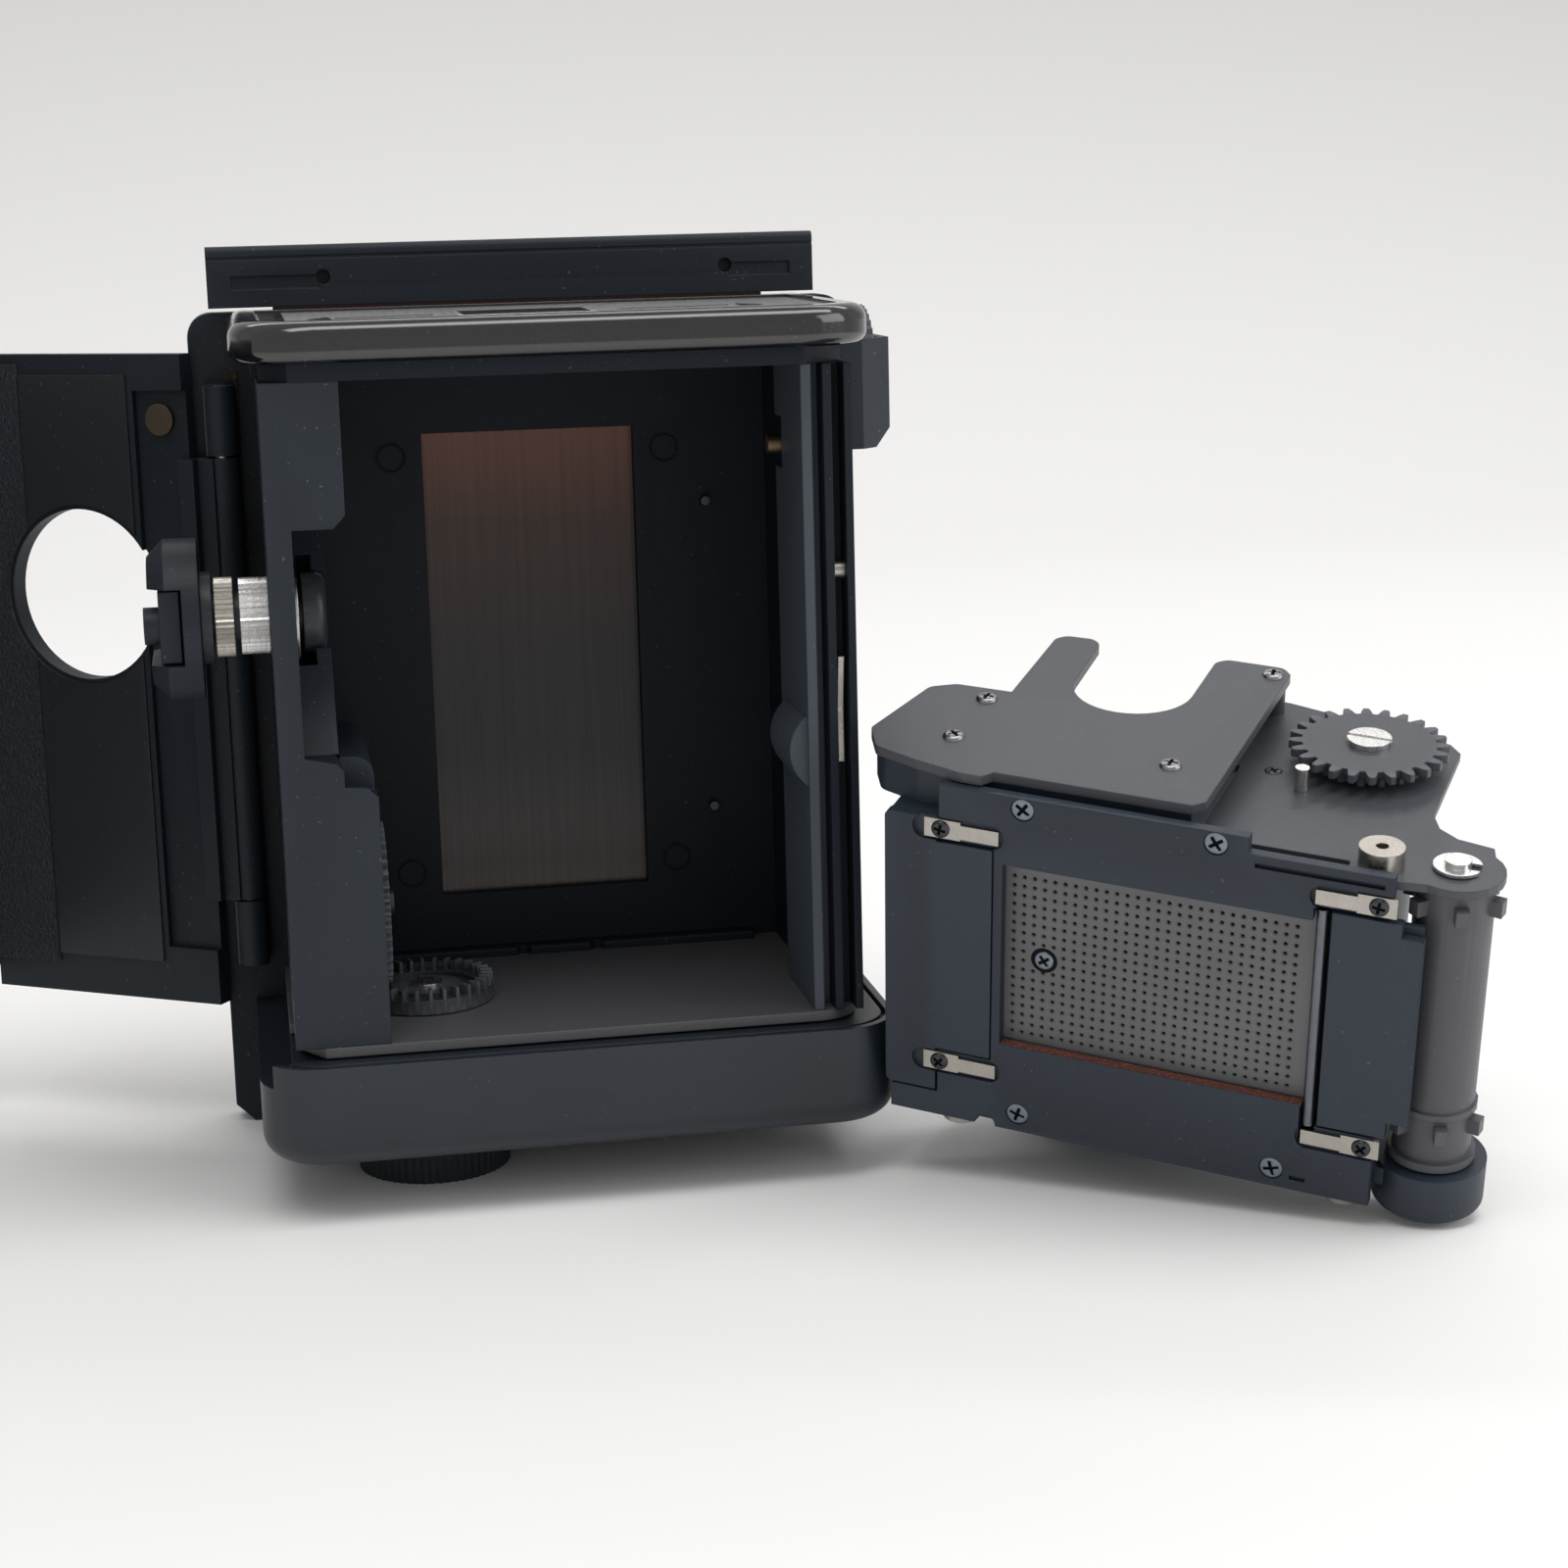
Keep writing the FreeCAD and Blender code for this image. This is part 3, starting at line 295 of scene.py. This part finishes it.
def addPiece(name, points, faces, finish, body, smooth=False, second=None):
    mesh = bpy.data.meshes.new(name)
    mesh.from_pydata(np.asarray(points).tolist(), [], [tuple(face) for face in faces])
    mesh.update()
    if smooth:
        mesh.shade_smooth()
    piece = bpy.data.objects.new(name, mesh)
    bpy.context.scene.collection.objects.link(piece)
    mesh.materials.append(finishes[finish])
    # Faces listed in second take the near-black recess finish: painted shade.
    if second is not None:
        mesh.materials.append(finishes["recess_painted_shade"])
        mesh.polygons.foreach_set("material_index", np.asarray(second, dtype=np.int32))
    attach(piece, body)
    return piece


def gather(parts):
    points, faces, start = [], [], 0
    for vertices, polygons in parts:
        points.append(vertices)
        faces += [tuple(start + index for index in polygon) for polygon in polygons]
        start += len(vertices)
    return np.concatenate(points), faces


# Pressure plate: a slab whose face carries rows of shallow eight-sided dimples, their floors near-black with
# painted shade.
# No dimple lies under the screw, which stands in a thin near-black disc, painted shade round its seat.
plate = {"x": (-17.9, 18.75), "z": (-11.4, 13.3), "face": 0.0, "back": 1.2, "firstX": -17.32,
         "firstZ": -10.75, "pitch": 1.2255, "across": 28, "up": 18, "mouth": 0.27, "floor": 0.22,
         "depth": 0.32, "screw": (-12.9, 0.2), "clear": 1.75, "screwFace": -0.06,
         "washer": {"radius": 1.6, "low": -0.05, "high": 0.03, "sides": 48}}


def makeDimpledPlate():
    half = plate["pitch"] / 2
    middleX = plate["firstX"] + np.arange(2 * plate["across"] + 1) * half
    middleZ = plate["firstZ"] + np.arange(2 * plate["up"] + 1) * half
    xs = np.concatenate([[plate["x"][0]], middleX, [plate["x"][1]]])
    zs = np.concatenate([[plate["z"][0]], middleZ, [plate["z"][1]]])
    gridX, gridZ = np.meshgrid(xs, zs, indexing="ij")
    points = [np.stack([gridX, np.full_like(gridX, plate["face"]), gridZ], -1).reshape(-1, 3)]
    wide, tall = len(xs), len(zs)
    at = lambda i, j: i * tall + j
    faces = []
    for i in range(wide - 1):
        for j in range(tall - 1):
            if not (1 <= i < wide - 2 and 1 <= j < tall - 2):
                faces.append((at(i, j), at(i + 1, j), at(i + 1, j + 1), at(i, j + 1)))
    # Each dimple: mouth and floor are octagons with corners at 22.5 + 45 k degrees,
    # joined outwards to the eight points round its cell.
    angles = np.radians(22.5 + 45 * np.arange(8))
    around = ((1, 0), (1, 1), (0, 1), (-1, 1), (-1, 0), (-1, -1), (0, -1), (1, -1))
    start = wide * tall
    dots = [0] * len(faces)
    for a in range(plate["across"]):
        for b in range(plate["up"]):
            i, j = 2 + 2 * a, 2 + 2 * b
            bare = math.dist((xs[i], zs[j]), plate["screw"]) < plate["clear"]
            for radius, deep in ((plate["mouth"], 0.0), (plate["floor"], 0.0 if bare else plate["depth"])):
                ringX = xs[i] + radius * np.cos(angles)
                ringZ = zs[j] + radius * np.sin(angles)
                points.append(np.stack([ringX, np.full(8, plate["face"] + deep), ringZ], -1))
            cell = [at(i + dx, j + dz) for dx, dz in around]
            # Dimple floors take the near-black recess finish, painted shade; bare ones keep the plate's
            # grey.
            dots += [0] * 24 + [0 if bare else 1]
            for k in range(8):
                m = (k + 1) % 8
                faces.append((cell[k], cell[m], start + k))
                faces.append((start + k, cell[m], start + m))
                faces.append((start + k, start + m, start + 8 + m, start + 8 + k))
            faces.append(tuple(start + 8 + k for k in range(8)))
            start += 16
    # Sides run from the outline back to a flat rear face.
    loop = [at(i, 0) for i in range(wide)] + [at(wide - 1, j) for j in range(1, tall)]
    loop += [at(i, tall - 1) for i in range(wide - 2, -1, -1)] + [at(0, j) for j in range(tall - 2, 0, -1)]
    front = points[0][loop]
    points.append(front + np.array([0, plate["back"] - plate["face"], 0]))
    for k in range(len(loop)):
        m = (k + 1) % len(loop)
        faces.append((loop[k], start + k, start + m, loop[m]))
    faces.append(tuple(start + k for k in range(len(loop)))[::-1])
    dots += [0] * (len(faces) - len(dots))
    piece = addPiece("dimpledPlate", insertPoints(np.concatenate(points)), faces, "plate_grey",
                     "pressure_plate", second=dots)
    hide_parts("pressure_plate")
    print("dimpled plate made")


# A flat outline carried from one height to another and closed at both ends.
def slab(outline, low, high):
    n = len(outline)
    points = np.array([(x, y, z) for z in (low, high) for x, y in outline])
    sides = [(k, (k + 1) % n, n + (k + 1) % n, n + k) for k in range(n)]
    return points, sides + [tuple(range(n))[::-1], tuple(range(n, 2 * n))]


# Screw heads, in mm: radius, height, half width of the cross arms, their reach and the cross's depth.
screwKinds = {
    "cover": {"radius": 1.3, "rise": 0.55, "arm": 0.17, "reach": 0.86, "deep": 0.38},
    "gate": {"radius": 1.45, "rise": 0.32, "arm": 0.17, "reach": 0.95, "deep": 0.30},
    "clip": {"radius": 1.1, "rise": 0.45, "arm": 0.15, "reach": 0.75, "deep": 0.30},
    "plate": {"radius": 1.15, "rise": 0.22, "arm": 0.17, "reach": 0.80, "deep": 0.18, "turn": 0.6},
    "flush": {"radius": 1.0, "rise": 0.12, "arm": 0.15, "reach": 0.70, "deep": 0.10},
}
screwPlaces = {
    "cover": [(-26.8, 18.6), (-27.0, 7.6), (-1.4, 9.2), (3.3, 37.1)],
    "gate": [(-15.3, 20.3), (7.1, 20.3), (-15.2, -20.4), (15.6, -20.4)],
    "clip": [(-25.1, 16.1), (-25.1, -15.2), (25.5, 16.0), (25.7, -15.2)],
    "flush": [(7.6, 21.5)],
}
# Cover and flush heads face up from a height, the others face forwards from a depth.
topFace = {"cover": 23.2, "flush": 18.4}
frontFace = {"gate": -1.66, "clip": -1.9}
screwFinish = {"cover": "screw_light", "gate": "screw_blue", "clip": "screw_dark", "flush": "screw_dark"}
screwShape = {"sides": 96, "low": 0.02, "sideBlur": 0.06, "endBlur": 0.12, "paintedShadeFrom": 0.45}


# A pan head on a polar grid: height = rise * (1 - r^4)^0.5,
# less the depth of the cross inside two crossed bars.
def screwHead(kind, turn):
    shape = screwShape
    rings = np.concatenate([np.linspace(0.02, 0.75, 16), np.linspace(0.79, 1.0, 7)])
    angle = np.linspace(0, 2 * math.pi, shape["sides"], endpoint=False)
    r, a = np.meshgrid(rings, angle, indexing="ij")
    x = r * np.cos(a) * kind["radius"]
    y = r * np.sin(a) * kind["radius"]
    height = kind["rise"] * np.sqrt(np.clip(1 - (r * 0.985) ** 4, 0, 1))
    u = x * math.cos(turn) + y * math.sin(turn)
    v = -x * math.sin(turn) + y * math.cos(turn)
    narrow, far = np.minimum(abs(u), abs(v)), np.maximum(abs(u), abs(v))
    across = np.clip((kind["arm"] - narrow) / shape["sideBlur"] + 0.5, 0, 1)
    along = np.clip((kind["reach"] - far) / shape["endBlur"], 0, 1)
    inside = across * along
    height = np.maximum(height - inside * kind["deep"], shape["low"])
    height[-1] = 0.0
    points = np.stack([x, y, height], -1).reshape(-1, 3)
    n = len(angle)
    k = np.arange(n)
    faces = []
    after = (k + 1) % n
    for row in range(len(rings) - 1):
        inner, outer = row * n, (row + 1) * n
        faces += [tuple(f) for f in np.stack([inner + k, outer + k, outer + after, inner + after], 1)]
    faces.append(tuple(k))
    # Faces deep in the cross take the near-black recess finish: painted shade in the slot.
    paintedShadeFaces = inside > shape["paintedShadeFrom"]
    cross = np.concatenate([paintedShadeFaces[:-1].astype(int).ravel(), [paintedShadeFaces[0].any()]])
    return points, faces, cross


# Lays points that face up so that they face forwards, which is along -y.
def faceForwards(points):
    return np.stack([points[:, 0], -points[:, 2], points[:, 1]], -1)


def makeScrews():
    rng = np.random.default_rng(4)
    groups = {kind: [] for kind in screwPlaces}
    crosses = {kind: [] for kind in screwPlaces}
    for kind, places in screwPlaces.items():
        for place in places:
            points, faces, cross = screwHead(screwKinds[kind], rng.uniform(0, math.pi / 2))
            crosses[kind].append(cross)
            if kind in topFace:
                points = points + np.array([place[0], place[1], topFace[kind]])
            else:
                points = faceForwards(points) + np.array([place[0], frontFace[kind], place[1]])
            groups[kind].append((points, faces))
    for kind, finish in screwFinish.items():
        points, faces = gather(groups[kind])
        piece = addPiece(kind + "Screws", insertPoints(points), faces, finish, "insert", True,
                         np.concatenate(crosses[kind]))
        if kind == "cover":
            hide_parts("insert_screws")
    midX, midZ = plate["screw"]
    points, faces, cross = screwHead(screwKinds["plate"], screwKinds["plate"]["turn"])
    points = faceForwards(points) + np.array([midX, plate["screwFace"], midZ])
    addPiece("plateScrew", insertPoints(points), faces, "screw_blue", "pressure_plate", True, cross)
    # A thin near-black disc round the plate screw: painted shade of its seat.
    washer = plate["washer"]
    angle = np.linspace(0, 2 * math.pi, washer["sides"], endpoint=False)
    outline = [(midX + washer["radius"] * math.cos(a), midZ + washer["radius"] * math.sin(a)) for a in angle]
    points, faces = slab(outline, washer["low"], washer["high"])
    addPiece("plateWasher", insertPoints(faceForwards(points)), faces, "recess_painted_shade", "pressure_plate")
    print("screws made")


# A dark strip of the frame stands behind the gap between the gate and the drum.
# Its outline is in x and y of the insert, its heights along z.
backStrip = {"outline": [(26.5, -0.55), (30.3, -0.55), (30.3, 0.25), (26.5, 0.25)],
             "low": -11.2, "high": 13.6}


def makeBackStrip():
    points, faces = slab(backStrip["outline"], backStrip["low"], backStrip["high"])
    addPiece("backStrip", insertPoints(points), faces, "insert_black", "insert")
    print("back strip made")


# Marks let into the top panel, in mm: a glossy window with a thin pale frame, a dark end strip,
# two arrow heads and their lines. Each layer has its outlines' name, its finish and its own lift.
topMarks = {
    "height": 104.72, "sunk": 0.1, "proud": 0.066,
    "layers": (("pale", "mark_silver", 0.0), ("black", "mark_black", 0.06), ("lines", "mark_black", 0.02)),
    "black": [[(-9.6, -33.0), (5.2, -33.0), (5.2, -22.0), (-9.6, -22.0)],
              [(-33.0, -40.2), (-30.2, -42.6), (-30.2, -6.8), (-33.0, -6.8)],
              [(-27.6, -33.5), (-25.2, -28.6), (-24.9, -33.9)],
              [(26.0, -30.5), (23.6, -25.6), (23.4, -30.9)]],
    "pale": [[(-10.3, -33.7), (5.9, -33.7), (5.9, -21.3), (-10.3, -21.3)]],
    "lines": [[(-24.4, -30.4), (-13.0, -29.2), (-13.0, -29.8), (-24.4, -31.0)],
              [(9.0, -29.2), (22.4, -27.4), (22.4, -28.0), (9.0, -29.8)]],
}


def makeTopMarks():
    low = topMarks["height"] - topMarks["sunk"]
    for name, finish, lift in topMarks["layers"]:
        high = topMarks["height"] + topMarks["proud"] + lift
        points, faces = gather([slab(outline, low, high) for outline in topMarks[name]])
        addPiece("topMarks" + name.capitalize(), points * 0.001, faces, finish, "magazine")
    print("top marks made")


# The camera's place in metres, its angles in degrees and its lens in mm.
view = {"place": (-0.03654, -0.37636, 0.11773), "azimuth": 10.44, "elevation": 11.46, "roll": -1.45,
        "lens": 66.93}


def makeCamera():
    data = bpy.data.cameras.new("camera")
    data.lens = view["lens"]
    data.sensor_width = 36.0
    data.clip_start = 0.01
    data.clip_end = 20.0
    camera = bpy.data.objects.new("camera", data)
    turn = Matrix.Rotation(-math.radians(view["azimuth"]), 4, "Z")
    tip = Matrix.Rotation(math.radians(90 - view["elevation"]), 4, "X")
    roll = Matrix.Rotation(math.radians(view["roll"]), 4, "Z")
    camera.matrix_world = Matrix.Translation(view["place"]) @ turn @ tip @ roll
    bpy.context.scene.collection.objects.link(camera)
    bpy.context.scene.camera = camera


# The sweep's colour darkens with height: painted shade of the light falling off up the wall.
room = {"front": -1.6, "back": 0.55, "bend": 0.5, "rise": 2.2, "half": 2.4,
        "paintedShadeByHeight": [(0.0, (0.93, 0.925, 0.92)), (0.25, (0.88, 0.875, 0.865)), (1.0, (0.70, 0.695, 0.685))]}


# A pale sweep: flat floor, a quarter-round bend, then an upright wall, as one profile carried sideways.
def makeRoom():
    bend = np.linspace(0, math.pi / 2, 24)
    wall = room["back"] + room["bend"]
    y = np.concatenate([[room["front"]], room["back"] + room["bend"] * np.sin(bend), [wall]])
    z = np.concatenate([[0.0], room["bend"] * (1 - np.cos(bend)), [room["rise"]]])
    x = np.array([-room["half"], room["half"]])
    points = np.stack(np.broadcast_arrays(x[None, :], y[:, None], z[:, None]), -1).reshape(-1, 3)
    rows = np.arange(len(y) - 1) * 2
    faces = np.stack([rows, rows + 1, rows + 3, rows + 2], 1)
    mesh = bpy.data.meshes.new("sweep")
    mesh.from_pydata(points.tolist(), [], faces.tolist())
    mesh.shade_smooth()
    sweep = bpy.data.objects.new("sweep", mesh)
    bpy.context.scene.collection.objects.link(sweep)
    material, tree, shader = newMaterial("paleSweep")
    split = addNode(tree, "ShaderNodeSeparateXYZ", {"Vector": objectCoords(tree)})
    # The colour darkens from the floor to the wall top: painted shade.
    rise = rangeOf(tree, split.outputs["Z"], 0.0, 1.0, 0.0, 0.25)
    tree.links.new(ramp(tree, rise, room["paintedShadeByHeight"]), shader.inputs["Base Color"])
    shader.inputs["Roughness"].default_value = 0.8
    mesh.materials.append(material)


lamps = [
    {"name": "overhead", "place": (0.15, -0.32, 1.15), "aim": (0.02, -0.02, 0.06), "size": (1.5, 0.4),
     "power": 7.6},
    {"name": "rearLamp", "place": (0.1, 0.55, 0.75), "aim": (0.0, -0.02, 0.08), "size": (1.2, 0.12),
     "power": 1.6},
    {"name": "rightFill", "place": (0.9, -0.55, 0.45), "aim": (0.02, -0.02, 0.05), "size": (0.8, 0.8),
     "power": 4.0},
]
skyLight = 0.50


def makeLamps():
    for lamp in lamps:
        data = bpy.data.lights.new(lamp["name"], "AREA")
        data.shape = "RECTANGLE"
        data.size, data.size_y = lamp["size"]
        data.energy = lamp["power"]
        holder = bpy.data.objects.new(lamp["name"], data)
        away = Vector(lamp["place"]) - Vector(lamp["aim"])
        holder.rotation_euler = away.to_track_quat("Z", "Y").to_euler()
        holder.location = lamp["place"]
        bpy.context.scene.collection.objects.link(holder)
    world = bpy.data.worlds.new("softRoom")
    world.use_nodes = True
    world.node_tree.nodes["Background"].inputs["Color"].default_value = (1, 0.995, 0.985, 1)
    world.node_tree.nodes["Background"].inputs["Strength"].default_value = skyLight
    bpy.context.scene.world = world
    bpy.context.scene.view_settings.view_transform = "Standard"


dressNodes()
makeDimpledPlate()
makeScrews()
makeBackStrip()
makeTopMarks()
makeCamera()
makeRoom()
makeLamps()
print("camera, room and lamps ready")
